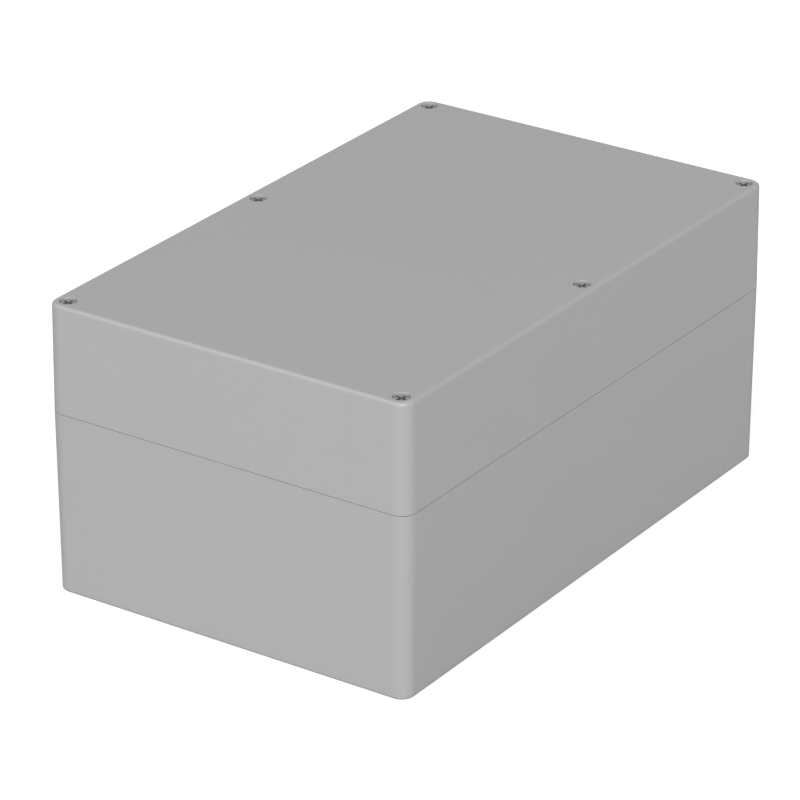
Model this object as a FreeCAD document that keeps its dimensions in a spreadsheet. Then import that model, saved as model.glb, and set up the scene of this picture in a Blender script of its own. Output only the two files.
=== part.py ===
import FreeCAD, Part
import math
import os

import Sketcher
from FreeCAD import Vector

# A sealed two-part polycarbonate enclosure: a deep lid on a deeper base, drawn together by six
# captive screws that stand outside the seal. Millimetres, +Z up, origin under the middle of the base.

doc = FreeCAD.newDocument("Enclosure")

# Driving dimensions

SIZES = [
    ("box_length", 250.0, "outside length at the parting line"),
    ("box_width", 160.0, "outside width at the parting line"),
    ("base_height", 73.8, "table to parting line"),
    ("lid_height", 44.0, "parting line to top of lid"),
    ("corner_radius", 6.0, "upright outside corners"),
    ("draft_angle", 0.5, "taper of every moulded wall, degrees"),
    ("top_edge_radius", 1.5, "outside edge of the lid's top"),
    ("foot_edge_radius", 0.7, "outside edge of the base's underside"),
    ("rim_chamfer", 0.1, "broken edge on both sides of the parting line"),
    ("reveal_height", 0.25, "shadow gap under the lid's outer edge"),
    ("reveal_depth", 0.6, "shadow gap, from the outside face"),
    ("inside_edge_radius", 1.0, "inside edge of floor and ceiling"),
    ("floor_wall", 3.5, "thickness of the base's floor"),
    ("roof_wall", 3.5, "thickness of the lid's top"),
    ("seal_lip", 1.1, "wall left on each side of the seal groove"),
    ("groove_width", 2.2, "seal groove in the lid"),
    ("groove_depth", 3.6, "seal groove in the lid"),
    ("seal_turn", 4.0, "inward turns of the seal line"),
    ("tongue_gap", 0.3, "side clearance of the base's tongue in the groove"),
    ("tongue_height", 1.6, "tongue above the parting line"),
    ("gasket_gap", 0.1, "side clearance of the gasket in the groove"),
    ("screw_inset", 6.3, "lid screw axes from the outside faces"),
    ("head_diameter", 6.2, "lid screw head"),
    ("head_height", 2.6, "lid screw head"),
    ("head_depth", 0.7, "top of the head below the lid's top"),
    ("head_edge", 0.3, "bevel round the top of the head"),
    ("head_gap", 0.3, "radial clearance round the head"),
    ("counterbore_edge", 0.1, "bevel at the mouth of a counterbore"),
    ("shank_diameter", 3.0, "relieved shank"),
    ("thread_diameter", 3.9, "outside of the threaded end"),
    ("thread_length", 10.0, "threaded end"),
    ("thread_gap", 0.05, "radial clearance of the thread in its insert"),
    ("thread_tip", 0.6, "bevel at the screw's tip"),
    ("screw_reach", 9.3, "screw tip below the parting line"),
    ("screw_travel", 10.0, "lift of a loosened screw"),
    ("recess_span", 5.0, "cross recess, end to end"),
    ("recess_slot", 1.15, "cross recess, width of one arm"),
    ("recess_depth", 1.7, "cross recess"),
    ("recess_taper", 12.0, "cross recess, slope of its walls, degrees"),
    ("recess_turn", 79.0, "cross recess, one arm from the box's length, degrees"),
    ("upper_bore", 4.4, "screw passage above the captive web"),
    ("web_bore", 3.5, "hole in the web that keeps the screw captive"),
    ("web_thickness", 2.0, "captive web"),
    ("lower_bore", 5.0, "screw passage below the captive web"),
    ("stop_gap", 0.1, "thread to web when the screw is fully raised"),
    ("insert_diameter", 6.0, "brass insert, also its seat in the moulding"),
    ("insert_length", 8.0, "brass insert"),
    ("insert_sink", 0.3, "column inserts below the parting line"),
    ("well_diameter", 4.8, "cored well under an insert"),
    ("well_depth", 40.0, "column wells, from the parting line"),
    ("fixing_step", 12.0, "wall fixing channel from its corner screw, along the length"),
    ("channel_diameter", 7.6, "wall fixing channel"),
    ("fixing_seat", 5.0, "material under the head of a wall screw"),
    ("fixing_bore", 4.5, "wall screw hole"),
    ("lid_core_depth", 34.0, "coring of the lid above each fixing channel"),
    ("boss_inset_x", 20.0, "axes of the outer mounting bosses from the ends"),
    ("boss_inset_y", 22.0, "axes of the mounting bosses from the long sides"),
    ("boss_diameter", 10.0, "floor boss"),
    ("boss_height", 9.0, "floor boss above the floor"),
    ("boss_floor", 2.0, "material left under a floor boss's well"),
    ("lid_boss_diameter", 7.0, "ceiling boss"),
    ("lid_boss_height", 9.0, "ceiling boss below the ceiling"),
    ("pilot_bore", 3.2, "pilot hole for a thread-forming screw"),
    ("pilot_depth", 9.5, "pilot hole"),
    ("guide_near", 36.0, "inner board slots, from the middle of the length"),
    ("guide_far", 71.0, "outer board slots, from the middle of the length"),
    ("guide_slot", 2.2, "gap between the two rails of a board slot"),
    ("rail_thickness", 1.6, "guide rail"),
    ("rail_reach", 3.0, "guide rail inboard of the wall at the parting line"),
    ("rail_top_gap", 12.0, "top of a rail below the parting line"),
]

sheet = doc.addObject("Spreadsheet::Sheet", "Sizes")
for row, (alias, size, meaning) in enumerate(SIZES, start=1):
    sheet.set("A%d" % row, meaning)
    sheet.set("B%d" % row, str(size))
    sheet.setAlias("B%d" % row, alias)
doc.recompute()

# Derived sizes, as formulas over the sheet

HALF_LENGTH = "Sizes.box_length / 2"
HALF_WIDTH = "Sizes.box_width / 2"
SEAL_INSET = "(Sizes.seal_lip + Sizes.groove_width / 2)"
WALL = "(2 * Sizes.seal_lip + Sizes.groove_width)"
COLUMN_ROUND = "(Sizes.channel_diameter / 2 + Sizes.seal_lip + Sizes.groove_width / 2)"
TONGUE_HALF = "(Sizes.groove_width / 2 - Sizes.tongue_gap)"
GASKET_HALF = "(Sizes.groove_width / 2 - Sizes.gasket_gap)"
SCREW_X = "(Sizes.box_length / 2 - Sizes.screw_inset)"
SCREW_Y = "(Sizes.box_width / 2 - Sizes.screw_inset)"
CHANNEL_X = "(Sizes.box_length / 2 - Sizes.screw_inset - Sizes.fixing_step)"
SEAT_HEIGHT = "(Sizes.lid_height - Sizes.head_depth - Sizes.head_height)"
SCREW_LENGTH = "(" + SEAT_HEIGHT + " + Sizes.screw_reach)"
WEB_HEIGHT = "(Sizes.thread_length - Sizes.screw_reach + Sizes.screw_travel + Sizes.stop_gap)"
WEB_TOP = "(" + WEB_HEIGHT + " + Sizes.web_thickness)"
BOSS_X = "(Sizes.box_length / 2 - Sizes.boss_inset_x)"
BOSS_Y = "(Sizes.box_width / 2 - Sizes.boss_inset_y)"
BOSS_TOP = "(Sizes.floor_wall + Sizes.boss_height)"
CEILING = "(Sizes.lid_height - Sizes.roof_wall)"
INSERT_BORE = "(Sizes.thread_diameter + 2 * Sizes.thread_gap)"
COUNTERBORE_RADIUS = "(Sizes.head_diameter / 2 + Sizes.head_gap)"

# The six screw stations: name, side along the length, side across the width
STATIONS = [
    ("front_left", -1, -1),
    ("front_middle", 0, -1),
    ("front_right", 1, -1),
    ("rear_left", -1, 1),
    ("rear_middle", 0, 1),
    ("rear_right", 1, 1),
]
CORNERS = [(sx, sy) for _, sx, sy in STATIONS if sx]
ON_AXIS = (0, "0")
TOUCHING = 1e-4


def value(formula):
    """The present value of a formula over the sheet."""
    result = sheet.evalExpression(formula)
    return float(getattr(result, "Value", result))


def signed(formula, side):
    """The formula on the positive or the negative side, or zero on the middle."""
    return "%d * %s" % (side, formula)


# Sketching helpers

def origin_plane(body, role):
    return next(item for item in body.Origin.OriginFeatures if item.Role == role)


def new_sketch(body, name, height="0", role="XY_Plane"):
    """A sketch on one of the body's own planes, lifted along that plane's normal."""
    sketch = body.newObject("Sketcher::SketchObject", name)
    sketch.AttachmentSupport = [(origin_plane(body, role), "")]
    sketch.MapMode = "FlatFace"
    sketch.setExpression("AttachmentOffset.Base.z", height)
    return sketch


def rule(kind, *references):
    """A constraint without a size."""
    return (kind, references, None)


def place(geometry, point, axis, side, formula):
    """One coordinate of a point: a formula on the given side of the origin, or on the axis itself."""
    if side == 0:
        return rule("PointOnObject", geometry, point, -2 if axis == "X" else -1)
    ends = (-1, 1, geometry, point) if side > 0 else (geometry, point, -1, 1)
    return ("Distance" + axis, ends, formula)


def constrain(sketch, rules):
    """Adds all the constraints at once and ties each one that has a size to the sheet."""
    first = sketch.ConstraintCount
    sketch.addConstraint([
        Sketcher.Constraint(kind, *references, *([value(formula)] if formula else []))
        for kind, references, formula in rules])
    for index, (kind, references, formula) in enumerate(rules, start=first):
        if formula:
            sketch.setExpression("Constraints[%d]" % index, formula)


def draw_circles(sketch, places, diameter):
    """Circles of one diameter; each place is (side, formula) along X and along Y."""
    first = sketch.GeometryCount
    rules = [("Diameter", (first,), diameter)]
    for index, ((side_x, formula_x), (side_y, formula_y)) in enumerate(places, start=first):
        centre = Vector(side_x * value(formula_x), side_y * value(formula_y), 0)
        sketch.addGeometry(Part.Circle(centre, Vector(0, 0, 1), value(diameter) / 2), False)
        rules.append(place(index, 3, "X", side_x, formula_x))
        rules.append(place(index, 3, "Y", side_y, formula_y))
        if index > first:
            rules.append(rule("Equal", first, index))
    constrain(sketch, rules)


def draw_chain(sketch, chain):
    """Draws a closed chain of (kind, turn, centre, start, end); returns its first index and rules."""
    first = sketch.GeometryCount
    ends = []
    for kind, turn, centre, start, end in chain:
        if turn == 0:
            sketch.addGeometry(Part.LineSegment(Vector(*start, 0), Vector(*end, 0)), False)
            ends.append((1, 2))
            continue
        low, high = (start, end) if turn > 0 else (end, start)
        angle_low = math.atan2(low[1] - centre[1], low[0] - centre[0])
        angle_high = math.atan2(high[1] - centre[1], high[0] - centre[0])
        if angle_high <= angle_low:
            angle_high += 2 * math.pi
        radius = math.dist(centre, start)
        circle = Part.Circle(Vector(*centre, 0), Vector(0, 0, 1), radius)
        sketch.addGeometry(Part.ArcOfCircle(circle, angle_low, angle_high), False)
        ends.append((1, 2) if turn > 0 else (2, 1))
    rules = []
    for index in range(len(chain)):
        after = (index + 1) % len(chain)
        rules.append(rule("Tangent", first + index, ends[index][1], first + after, ends[after][0]))
    return first, rules


def draw_rounded_box(sketch, inset="0"):
    """The outside outline at the parting line, or a parallel of it further in."""
    wall_x = "%s - %s" % (HALF_LENGTH, inset)
    wall_y = "%s - %s" % (HALF_WIDTH, inset)
    corner = "Sizes.corner_radius - " + inset
    half_x, half_y, radius = value(wall_x), value(wall_y), value(corner)
    chain = []
    for sx, sy in [(1, -1), (1, 1), (-1, 1), (-1, -1)]:
        centre = (sx * (half_x - radius), sy * (half_y - radius))
        on_end = (sx * half_x, centre[1])
        on_side = (centre[0], sy * half_y)
        start, end = (on_side, on_end) if sx * sy < 0 else (on_end, on_side)
        if chain:
            chain.append(("wall", 0, None, chain[-1][4], start))
        chain.append(("corner", 1, centre, start, end))
    chain.append(("wall", 0, None, chain[-1][4], chain[0][3]))
    first, rules = draw_chain(sketch, chain)
    rules.append(("Radius", (first,), corner))
    for index, (kind, turn, centre, start, end) in enumerate(chain, start=first):
        if kind == "corner" and index > first:
            rules.append(rule("Equal", first, index))
        elif kind == "wall" and start[0] == end[0]:
            rules.append(rule("Vertical", index))
            rules.append(place(index, 1, "X", math.copysign(1, start[0]), wall_x))
        elif kind == "wall":
            rules.append(rule("Horizontal", index))
            rules.append(place(index, 1, "Y", math.copysign(1, start[1]), wall_y))
    constrain(sketch, rules)


def seal_chain(inboard):
    """The seal line, moved inboard: along the walls, stepping in round all six columns."""
    wall_x = value(HALF_LENGTH) - value(SEAL_INSET) - inboard
    wall_y = value(HALF_WIDTH) - value(SEAL_INSET) - inboard
    round_column = value(COLUMN_ROUND) + inboard
    turn = value("Sizes.seal_turn") - inboard
    column_x, column_y = value(CHANNEL_X), value(SCREW_Y)
    block_y = column_y - round_column
    rise = wall_y - turn - column_y
    reach = math.sqrt((round_column + turn) ** 2 - rise ** 2)
    share = round_column / (round_column + turn)
    meet_x, meet_y = reach * share, column_y + rise * share
    turn_x, turn_y = wall_x - turn, wall_y - turn
    corner_y = block_y - turn
    outer_x = column_x - reach
    joint_x = column_x - meet_x
    quarter = [
        ("turn", 1, (turn_x, corner_y), (wall_x, corner_y), (turn_x, block_y)),
        ("block", 0, None, (turn_x, block_y), (column_x, block_y)),
        ("column", -1, (column_x, column_y), (column_x, block_y), (joint_x, meet_y)),
        ("turn", 1, (outer_x, turn_y), (joint_x, meet_y), (outer_x, wall_y)),
        ("side", 0, None, (outer_x, wall_y), (reach, wall_y)),
        ("turn", 1, (reach, turn_y), (reach, wall_y), (meet_x, meet_y)),
    ]

    def mirrored(sx, sy):
        def moved(point):
            return point and (point[0] * sx, point[1] * sy)
        pieces = [(kind, bend, moved(c), moved(a), moved(b)) for kind, bend, c, a, b in quarter]
        if sx * sy > 0:
            return pieces
        return [(kind, bend, c, b, a) for kind, bend, c, a, b in reversed(pieces)]

    def end_wall(side):
        start, end = (side * wall_x, -side * corner_y), (side * wall_x, side * corner_y)
        return ("end", 0, None, start, end)

    def middle_column(side):
        start, end = (side * meet_x, side * meet_y), (-side * meet_x, side * meet_y)
        return ("middle", -1, (0, side * column_y), start, end)

    return ([end_wall(1)] + mirrored(1, 1) + [middle_column(1)] + mirrored(-1, 1)
            + [end_wall(-1)] + mirrored(-1, -1) + [middle_column(-1)] + mirrored(1, -1))


def draw_seal_line(sketch, inboard):
    """A parallel of the seal line; inboard is a formula, negative towards the outside."""
    chain = seal_chain(value(inboard))
    first, rules = draw_chain(sketch, chain)
    wall_x = "%s - %s - (%s)" % (HALF_LENGTH, SEAL_INSET, inboard)
    wall_y = "%s - %s - (%s)" % (HALF_WIDTH, SEAL_INSET, inboard)
    radii = {
        "column": "%s + (%s)" % (COLUMN_ROUND, inboard),
        "turn": "Sizes.seal_turn - (%s)" % inboard,
    }
    leaders = {}
    for index, (kind, bend, centre, start, end) in enumerate(chain, start=first):
        if kind == "end":
            rules.append(rule("Vertical", index))
            rules.append(place(index, 1, "X", math.copysign(1, start[0]), wall_x))
        elif kind == "block":
            rules.append(rule("Horizontal", index))
        elif kind == "side":
            rules.append(rule("Horizontal", index))
            rules.append(place(index, 1, "Y", math.copysign(1, start[1]), wall_y))
        elif kind == "column":
            rules.append(place(index, 3, "X", math.copysign(1, centre[0]), CHANNEL_X))
            rules.append(place(index, 3, "Y", math.copysign(1, centre[1]), SCREW_Y))
        elif kind == "middle":
            rules.append(place(index, 3, "X", *ON_AXIS))
            rules.append(place(index, 3, "Y", math.copysign(1, centre[1]), SCREW_Y))
        if bend:
            family = "turn" if kind == "turn" else "column"
            if family in leaders:
                rules.append(rule("Equal", leaders[family], index))
            else:
                leaders[family] = index
                rules.append(("Radius", (index,), radii[family]))
    constrain(sketch, rules)


def draw_rectangle(sketch, low_x, high_x, low_y, high_y):
    """An upright rectangle; each edge is (side, formula)."""
    xs = [side * value(formula) for side, formula in (low_x, high_x)]
    ys = [side * value(formula) for side, formula in (low_y, high_y)]
    corners = [(xs[0], ys[0]), (xs[1], ys[0]), (xs[1], ys[1]), (xs[0], ys[1])]
    first = sketch.GeometryCount
    for index, corner in enumerate(corners):
        following = corners[(index + 1) % 4]
        sketch.addGeometry(Part.LineSegment(Vector(*corner, 0), Vector(*following, 0)), False)
    rules = [
        place(first, 1, "X", *low_x),
        place(first, 1, "Y", *low_y),
        place(first + 1, 2, "X", *high_x),
        place(first + 1, 2, "Y", *high_y),
    ]
    for index in range(4):
        rules.append(rule("Coincident", first + index, 2, first + (index + 1) % 4, 1))
        rules.append(rule("Horizontal" if index % 2 == 0 else "Vertical", first + index))
    constrain(sketch, rules)


def draw_half_section(sketch, points):
    """A closed profile to the right of the axis; each point is a pair of (side, formula)."""
    corners = [Vector(sx * value(fx), sy * value(fy), 0) for (sx, fx), (sy, fy) in points]
    first = sketch.GeometryCount
    count = len(corners)
    for index in range(count):
        sketch.addGeometry(Part.LineSegment(corners[index], corners[(index + 1) % count]), False)
    rules = []
    for index, (along_x, along_y) in enumerate(points):
        rules.append(rule("Coincident", first + index, 2, first + (index + 1) % count, 1))
        rules.append(place(first + index, 1, "X", *along_x))
        rules.append(place(first + index, 1, "Y", *along_y))
    constrain(sketch, rules)


# Feature helpers: each one checks that it did what it was meant to do

def settle(body, feature, grows):
    """Recomputes and compares the body's volume with what it was before the feature."""
    before = feature.BaseFeature.Shape.Volume if feature.BaseFeature else 0.0
    doc.recompute()
    if feature.Shape.isNull():
        raise RuntimeError("%s: %s has no shape" % (body.Label, feature.Label))
    change = feature.Shape.Volume - before
    if grows is not None and (change > 0) != grows:
        raise RuntimeError("%s: %s changed the volume by %.3f" % (body.Label, feature.Label, change))
    return feature


def pad(body, sketch, length, downwards=False, taper=None):
    feature = body.newObject("PartDesign::Pad", sketch.Name.replace("sketch", "pad"))
    feature.Profile = sketch
    feature.Reversed = downwards
    feature.setExpression("Length", length)
    if taper:
        feature.setExpression("TaperAngle", taper)
    sketch.Visibility = False
    return settle(body, feature, grows=True)


def pocket(body, sketch, length=None, upwards=False, taper=None):
    feature = body.newObject("PartDesign::Pocket", sketch.Name.replace("sketch", "pocket"))
    feature.Profile = sketch
    feature.Reversed = upwards
    if length is None:
        feature.Type = "ThroughAll"
    else:
        feature.setExpression("Length", length)
    if taper:
        feature.setExpression("TaperAngle", taper)
    sketch.Visibility = False
    return settle(body, feature, grows=False)


def revolve(body, sketch):
    feature = body.newObject("PartDesign::Revolution", sketch.Name.replace("sketch", "turned"))
    feature.Profile = sketch
    feature.ReferenceAxis = (sketch, ["V_Axis"])
    feature.Angle = 360
    sketch.Visibility = False
    return settle(body, feature, grows=True)


def edges_at(shape, height, test=None):
    """Names of the edges that lie in one level plane and pass the test."""
    names = []
    for index, edge in enumerate(shape.Edges, start=1):
        box = edge.BoundBox
        level = abs(box.ZMin - height) < TOUCHING and abs(box.ZMax - height) < TOUCHING
        if level and (test is None or test(edge)):
            names.append("Edge%d" % index)
    return names


def dress_edges(body, kind, name, edges, size):
    """A fillet or chamfer on named edges of the body's present shape."""
    base = body.Tip
    feature = body.newObject("PartDesign::" + kind, name)
    feature.Base = (base, edges)
    feature.setExpression("Radius" if kind == "Fillet" else "Size", size)
    return settle(body, feature, grows=None)


def new_body(label, places=None):
    """A body named for its piece, placed by formulas."""
    body = doc.addObject("PartDesign::Body", label)
    body.Label = label
    for path, formula in (places or {}).items():
        body.setExpression(path, formula)
    return body


# Places that several pieces share

def screw_places():
    return [((sx, SCREW_X), (sy, SCREW_Y)) for _, sx, sy in STATIONS]


def channel_places():
    return [((sx, CHANNEL_X), (sy, SCREW_Y)) for sx, sy in CORNERS]


def boss_places(stations):
    return [((sx, BOSS_X), (sy, BOSS_Y)) for sx, sy in stations]


ALL_BOSSES = [(sx, sy) for _, sx, sy in STATIONS]


def circle_sketch(body, name, height, places, diameter):
    sketch = new_sketch(body, name, height)
    draw_circles(sketch, places, diameter)
    return sketch


def seal_ring_sketch(body, name, height, half_width):
    """The band between two parallels of the seal line."""
    sketch = new_sketch(body, name, height)
    draw_seal_line(sketch, half_width)
    draw_seal_line(sketch, "-" + half_width)
    return sketch


# The base: a tub with six columns, a sealing tongue, fixing channels, floor bosses and guide rails

def make_base():
    body = new_body("base")
    rim = "Sizes.base_height"

    outline = new_sketch(body, "base_outline_sketch", rim)
    draw_rounded_box(outline)
    shell = pad(body, outline, rim, downwards=True, taper="-Sizes.draft_angle")
    rim_edges = edges_at(shell.Shape, value(rim))
    dress_edges(body, "Chamfer", "base_rim_chamfer", rim_edges, "Sizes.rim_chamfer")
    foot = edges_at(body.Tip.Shape, 0.0)
    dress_edges(body, "Fillet", "base_foot_round", foot, "Sizes.foot_edge_radius")

    cavity = new_sketch(body, "base_cavity_sketch", rim)
    draw_seal_line(cavity, WALL + " / 2")
    pocket(body, cavity, rim + " - Sizes.floor_wall", taper="-Sizes.draft_angle")
    floor_edges = edges_at(body.Tip.Shape, value("Sizes.floor_wall"))
    dress_edges(body, "Fillet", "base_floor_round", floor_edges, "Sizes.inside_edge_radius")

    tongue = seal_ring_sketch(body, "base_tongue_sketch", rim, TONGUE_HALF)
    pad(body, tongue, "Sizes.tongue_height")

    wells = circle_sketch(body, "base_well_sketch", rim, screw_places(), "Sizes.well_diameter")
    pocket(body, wells, "Sizes.well_depth")
    seats = circle_sketch(body, "base_insert_seat_sketch", rim, screw_places(), "Sizes.insert_diameter")
    pocket(body, seats, "Sizes.insert_sink + Sizes.insert_length")

    channels = circle_sketch(body, "base_channel_sketch", rim, channel_places(),
                             "Sizes.channel_diameter")
    pocket(body, channels, rim + " - Sizes.fixing_seat")
    holes = circle_sketch(body, "base_fixing_sketch", rim, channel_places(), "Sizes.fixing_bore")
    pocket(body, holes)

    make_guide_rails(body)

    bosses = circle_sketch(body, "base_boss_sketch", "Sizes.floor_wall", boss_places(ALL_BOSSES),
                           "Sizes.boss_diameter")
    pad(body, bosses, "Sizes.boss_height", taper="-Sizes.draft_angle")
    boss_wells = circle_sketch(body, "base_boss_well_sketch", BOSS_TOP, boss_places(ALL_BOSSES),
                               "Sizes.well_diameter")
    pocket(body, boss_wells, BOSS_TOP + " - Sizes.boss_floor")
    boss_seats = circle_sketch(body, "base_boss_seat_sketch", BOSS_TOP, boss_places(ALL_BOSSES),
                               "Sizes.insert_diameter")
    pocket(body, boss_seats, "Sizes.insert_length")
    return body


def make_guide_rails(body):
    """Pairs of upright rails on both long walls, which hold circuit boards set across the width."""
    sketch = new_sketch(body, "base_rail_sketch", "Sizes.floor_wall")
    root = "(%s - %s / 2)" % (HALF_WIDTH, WALL)
    tip = "(%s - %s - Sizes.rail_reach)" % (HALF_WIDTH, WALL)
    for slot in ("Sizes.guide_near", "Sizes.guide_far"):
        near_inner = "(%s - Sizes.guide_slot / 2 - Sizes.rail_thickness)" % slot
        near_outer = "(%s - Sizes.guide_slot / 2)" % slot
        far_inner = "(%s + Sizes.guide_slot / 2)" % slot
        far_outer = "(%s + Sizes.guide_slot / 2 + Sizes.rail_thickness)" % slot
        for inner, outer in ((near_inner, near_outer), (far_inner, far_outer)):
            for sx, sy in CORNERS:
                draw_rectangle(sketch, (sx, inner), (sx, outer), (sy, tip), (sy, root))
    pad(body, sketch, "Sizes.base_height - Sizes.floor_wall - Sizes.rail_top_gap")


# The lid: a deep cover with the seal groove, stepped screw passages and ceiling bosses

def is_counterbore(edge):
    """True for a circle with the radius of a counterbore."""
    is_circle = edge.Curve.TypeId == "Part::GeomCircle"
    return is_circle and abs(edge.Curve.Radius - value(COUNTERBORE_RADIUS)) < TOUCHING


def make_lid():
    body = new_body("lid", {"Placement.Base.z": "Sizes.base_height"})
    top = "Sizes.lid_height"

    outline = new_sketch(body, "lid_outline_sketch", "Sizes.reveal_height")
    draw_rounded_box(outline)
    shell = pad(body, outline, top + " - Sizes.reveal_height", taper="-Sizes.draft_angle")
    rim_edges = edges_at(shell.Shape, value("Sizes.reveal_height"))
    dress_edges(body, "Chamfer", "lid_rim_chamfer", rim_edges, "Sizes.rim_chamfer")
    top_edges = edges_at(body.Tip.Shape, value(top))
    dress_edges(body, "Fillet", "lid_top_round", top_edges, "Sizes.top_edge_radius")
    contact = new_sketch(body, "lid_contact_sketch", "Sizes.reveal_height")
    draw_rounded_box(contact, "Sizes.reveal_depth")
    pad(body, contact, "Sizes.reveal_height", downwards=True)

    cavity = new_sketch(body, "lid_cavity_sketch")
    draw_seal_line(cavity, WALL + " / 2")
    pocket(body, cavity, CEILING, upwards=True, taper="-Sizes.draft_angle")
    ceiling_edges = edges_at(body.Tip.Shape, value(CEILING))
    dress_edges(body, "Fillet", "lid_ceiling_round", ceiling_edges, "Sizes.inside_edge_radius")

    groove = seal_ring_sketch(body, "lid_groove_sketch", "0", "(Sizes.groove_width / 2)")
    pocket(body, groove, "Sizes.groove_depth", upwards=True)

    web = circle_sketch(body, "lid_web_sketch", top, screw_places(), "Sizes.web_bore")
    pocket(body, web)
    upper = circle_sketch(body, "lid_upper_bore_sketch", top, screw_places(), "Sizes.upper_bore")
    pocket(body, upper, "%s - %s" % (top, WEB_TOP))
    heads = circle_sketch(body, "lid_counterbore_sketch", top, screw_places(),
                          "2 * " + COUNTERBORE_RADIUS)
    pocket(body, heads, "Sizes.head_depth + Sizes.head_height")
    mouths = edges_at(body.Tip.Shape, value(top), is_counterbore)
    dress_edges(body, "Chamfer", "lid_counterbore_bevel", mouths, "Sizes.counterbore_edge")
    lower = circle_sketch(body, "lid_lower_bore_sketch", "0", screw_places(), "Sizes.lower_bore")
    pocket(body, lower, WEB_HEIGHT, upwards=True)

    cores = circle_sketch(body, "lid_core_sketch", "0", channel_places(), "Sizes.channel_diameter")
    pocket(body, cores, "Sizes.lid_core_depth", upwards=True)

    bosses = circle_sketch(body, "lid_boss_sketch", CEILING, boss_places(CORNERS),
                           "Sizes.lid_boss_diameter")
    pad(body, bosses, "Sizes.lid_boss_height", downwards=True, taper="-Sizes.draft_angle")
    pilots = circle_sketch(body, "lid_pilot_sketch", CEILING + " - Sizes.lid_boss_height",
                           boss_places(CORNERS), "Sizes.pilot_bore")
    pocket(body, pilots, "Sizes.pilot_depth", upwards=True)
    return body


# The gasket: one endless cord in the lid's groove, which the tongue presses from below

def make_gasket():
    body = new_body("gasket", {"Placement.Base.z": "Sizes.base_height + Sizes.tongue_height"})
    ring = seal_ring_sketch(body, "gasket_sketch", "0", GASKET_HALF)
    pad(body, ring, "Sizes.groove_depth - Sizes.tongue_height")
    return body


# A captive lid screw: cheese head, relieved shank and a thread at its end only

def make_screw(name, side_x, side_y):
    body = new_body("lid_screw_" + name, {
        "Placement.Base.x": signed(SCREW_X, side_x),
        "Placement.Base.y": signed(SCREW_Y, side_y),
        "Placement.Base.z": "Sizes.base_height + " + SEAT_HEIGHT,
        "Placement.Rotation.Angle": "Sizes.recess_turn",
    })
    head = (1, "Sizes.head_diameter / 2")
    head_bevel = (1, "Sizes.head_diameter / 2 - Sizes.head_edge")
    shank = (1, "Sizes.shank_diameter / 2")
    thread = (1, "Sizes.thread_diameter / 2")
    tip = (1, "Sizes.thread_diameter / 2 - Sizes.thread_tip")
    top = (1, "Sizes.head_height")
    shoulder = (1, "Sizes.head_height - Sizes.head_edge")
    thread_top = (-1, SCREW_LENGTH + " - Sizes.thread_length")
    thread_end = (-1, SCREW_LENGTH + " - Sizes.thread_tip")
    end = (-1, SCREW_LENGTH)
    profile = new_sketch(body, "screw_%s_sketch" % name, role="XZ_Plane")
    draw_half_section(profile, [
        (ON_AXIS, top), (head_bevel, top), (head, shoulder), (head, ON_AXIS), (shank, ON_AXIS),
        (shank, thread_top), (thread, thread_top), (thread, thread_end), (tip, end), (ON_AXIS, end),
    ])
    revolve(body, profile)
    half_span = "Sizes.recess_span / 2"
    half_slot = "Sizes.recess_slot / 2"
    for arm, (reach_x, reach_y) in enumerate(((half_span, half_slot), (half_slot, half_span)), start=1):
        recess = new_sketch(body, "recess_%s_%d_sketch" % (name, arm), "Sizes.head_height")
        draw_rectangle(recess, (-1, reach_x), (1, reach_x), (-1, reach_y), (1, reach_y))
        pocket(body, recess, "Sizes.recess_depth", taper="-Sizes.recess_taper")
    return body


# A brass insert: a sleeve pressed into the moulding, flush with the end of its seat

def make_insert(label, x, y, top_height):
    body = new_body(label, {
        "Placement.Base.x": x,
        "Placement.Base.y": y,
        "Placement.Base.z": top_height,
    })
    bore = (1, INSERT_BORE + " / 2")
    outside = (1, "Sizes.insert_diameter / 2")
    end = (-1, "Sizes.insert_length")
    profile = new_sketch(body, label + "_sketch", role="XZ_Plane")
    draw_half_section(profile, [(bore, ON_AXIS), (outside, ON_AXIS), (outside, end), (bore, end)])
    revolve(body, profile)
    return body


# Assembly

bodies = [make_base(), make_lid(), make_gasket()]
for station, side_x, side_y in STATIONS:
    bodies.append(make_screw(station, side_x, side_y))
    bodies.append(make_insert(
        "column_insert_" + station,
        signed(SCREW_X, side_x),
        signed(SCREW_Y, side_y),
        "Sizes.base_height - Sizes.insert_sink"))
    bodies.append(make_insert(
        "floor_insert_" + station,
        signed(BOSS_X, side_x),
        signed(BOSS_Y, side_y),
        BOSS_TOP))
doc.recompute()

# Every object has to be sound before anything is written

for item in doc.Objects:
    if "Invalid" in item.State or "Error" in item.State:
        raise RuntimeError("%s is %s" % (item.Label, item.State))
for body in bodies:
    shape = body.Shape
    if shape.isNull() or not shape.isValid() or len(shape.Solids) != 1:
        raise RuntimeError("%s isn't one sound solid" % body.Label)

os.makedirs("parts", exist_ok=True)
for body in bodies:
    body.Shape.exportStep("parts/%s.step" % body.Label)
    box = body.Shape.BoundBox
    print("%-28s %10.1f mm3  z %.2f to %.2f" % (body.Label, body.Shape.Volume, box.ZMin, box.ZMax))
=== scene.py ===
# %% [markdown]
# This lesson dresses a sealed polycarbonate box for electronics: a deep grey lid on a deeper grey
# base, six steel screws in round wells, and inside them a rubber seal and twelve brass inserts. The
# solids are measured and stay where they are. The work here is what makes them look real: the
# moulded finish, the metal, the rubber, the small details of the fasteners, and an even studio light.

# %% Load the measured solids
import math

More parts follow.
